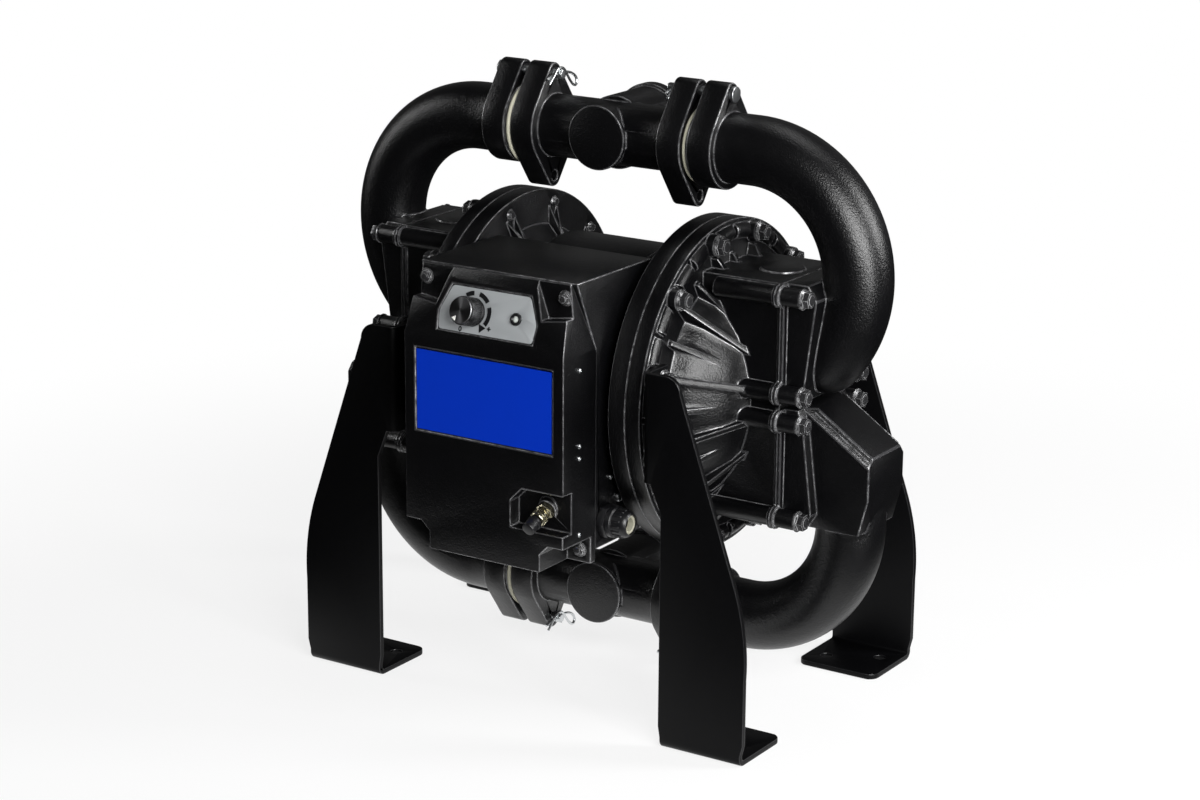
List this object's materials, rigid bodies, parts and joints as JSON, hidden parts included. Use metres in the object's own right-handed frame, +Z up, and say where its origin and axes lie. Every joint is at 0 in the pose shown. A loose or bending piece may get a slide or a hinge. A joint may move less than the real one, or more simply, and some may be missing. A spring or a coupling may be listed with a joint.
{
  "type": "electric diaphragm pump",
  "caption": "Electric double diaphragm pump: black castings round a motor housing, elbows to inlet and outlet manifolds, bent steel legs, front control box with speed knob.",
  "frame": {"origin": "on the floor under the middle of the pump, between the four feet", "axes": "+Z up, +X along the pump's drive axis towards the cable gland's side, and the control box faces -Y"},
  "size_m": [0.676, 0.4627, 0.6715],
  "materials": {
    "leg_steel": "satin black powder coat on bent sheet steel",
    "painted_casting": "satin black paint with a fine orange-peel grain on cast aluminium",
    "cream_gasket": "matt cream sealing ring",
    "zinc_steel": "bright zinc-plated steel",
    "black_fastener": "black oxide steel, worn bright on the edges",
    "wetted_polymer": "natural white polymer",
    "black_rubber": "matt black rubber",
    "motor_core": "laminated steel core",
    "machined_steel": "ground steel",
    "bronze_bush": "sintered bronze",
    "bare_aluminium": "machined aluminium",
    "silver_panel": "brushed silver-grey panel with a dark groove",
    "black_plastic": "moulded black plastic",
    "pilot_light": "pale lens in a black ring",
    "blue_plate": "vivid blue enamelled plate, bare of marks",
    "board_green": "green printed board",
    "nickel_brass": "nickel-plated brass"
  },
  "bodies": {
    "frame": {"leg_front_right": "leg_steel", "leg_front_left": "leg_steel", "leg_rear_right": "leg_steel", "leg_rear_left": "leg_steel", "fluid_cover_right": "painted_casting", "fluid_cover_left": "painted_casting", "outlet_elbow_right": "painted_casting", "outlet_elbow_left": "painted_casting", "inlet_elbow_right": "painted_casting", "inlet_elbow_left": "painted_casting", "outlet_tee": "painted_casting", "inlet_tee": "painted_casting", "inner_cover_right": "painted_casting", "inner_cover_left": "painted_casting", "centre_housing": "painted_casting", "control_cover": "painted_casting", "joint_gaskets": "cream_gasket", "clevis_pins": "zinc_steel", "hairpin_clips": "zinc_steel", "flange_bolts_right": "black_fastener", "flange_bolts_left": "black_fastener", "leg_bolts": "black_fastener", "elbow_bolts": "black_fastener", "cover_bolts": "black_fastener", "side_screws": "black_fastener", "outlet_seat_right": "wetted_polymer", "outlet_seat_left": "wetted_polymer", "inlet_seat_right": "wetted_polymer", "inlet_seat_left": "wetted_polymer", "diaphragm_right": "black_rubber", "diaphragm_left": "black_rubber", "cover_gasket": "black_rubber", "stator": "motor_core", "rotor_bearing_right": "machined_steel", "rotor_bearing_left": "machined_steel", "rod_bush_right": "bronze_bush", "rod_bush_left": "bronze_bush", "control_panel": "silver_panel", "speed_control": "black_plastic", "status_light": "pilot_light", "front_plate": "blue_plate", "circuit_board": "board_green", "gland_body": "black_plastic", "gland_nut": "black_plastic", "gland_seal": "cream_gasket", "connector_nut": "nickel_brass", "connector_cap": "black_plastic", "housing_plug": "zinc_steel"},
    "knob": {"speed_knob": "black_plastic", "knob_shaft": "machined_steel"},
    "rotor": {"rotor": "motor_core"},
    "rod": {"screw_rod": "machined_steel", "inner_plate_right": "bare_aluminium", "inner_plate_left": "bare_aluminium", "fluid_plate_right": "wetted_polymer", "fluid_plate_left": "wetted_polymer"},
    "outlet_ball_right": {"outlet_ball_right": "black_rubber"},
    "outlet_ball_left": {"outlet_ball_left": "black_rubber"},
    "inlet_ball_right": {"inlet_ball_right": "black_rubber"},
    "inlet_ball_left": {"inlet_ball_left": "black_rubber"}
  },
  "joints": [
    {"name": "knob_turn", "type": "hinge", "parent": "frame", "child": "knob", "pos_m": [-0.018, -0.23864, 0.4496], "axis": [0, -0.9563, 0.2924], "range_deg": [-270, 0]},
    {"name": "rotor_spin", "type": "hinge", "parent": "frame", "child": "rotor", "pos_m": [0, 0, 0.345], "axis": [1, 0, 0], "range_deg": [-259.2, 259.2]},
    {"name": "rod_slide", "type": "slide", "parent": "frame", "child": "rod", "axis": [1, 0, 0], "range_m": [-0.0181, 0.0181], "deforming": ["diaphragm_right", "diaphragm_left"]},
    {"name": "outlet_right_lift", "type": "slide", "parent": "frame", "child": "outlet_ball_right", "axis": [0, 0, 1], "range_m": [0, 0.01]},
    {"name": "outlet_left_lift", "type": "slide", "parent": "frame", "child": "outlet_ball_left", "axis": [0, 0, 1], "range_m": [0, 0.01]},
    {"name": "inlet_right_lift", "type": "slide", "parent": "frame", "child": "inlet_ball_right", "axis": [0, 0, 1], "range_m": [0, 0.01]},
    {"name": "inlet_left_lift", "type": "slide", "parent": "frame", "child": "inlet_ball_left", "axis": [0, 0, 1], "range_m": [0, 0.01]}
  ],
  "couplings": [
    {"joint": "rod_slide", "follows": "rotor_spin", "m_per_rad": 0.003979}
  ]
}
